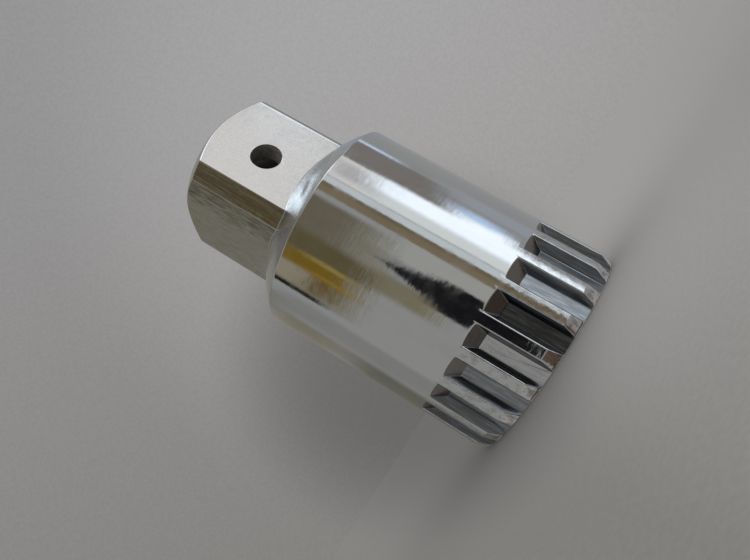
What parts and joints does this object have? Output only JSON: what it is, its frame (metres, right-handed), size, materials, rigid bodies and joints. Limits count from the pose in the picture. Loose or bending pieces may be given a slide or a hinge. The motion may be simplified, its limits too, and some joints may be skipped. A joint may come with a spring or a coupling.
{
  "type": "bottom bracket tool",
  "caption": "Chrome-plated steel socket with a ring of ramped splines at one end, a domed shoulder and a square spanner head with a drive socket and ball hole.",
  "frame": {"origin": "centre of the plane of the tooth tips, on which the tool stands", "axes": "+Z along the tool's axis from the tooth tips to the square head; -Y out of the flat with the ball hole"},
  "size_m": [0.032, 0.032, 0.0579],
  "materials": {
    "chrome_plate": "bright chrome plate over machined and forged steel, with fine streaks"
  },
  "bodies": {
    "root": {"tool_body": "chrome_plate"}
  },
  "joints": []
}
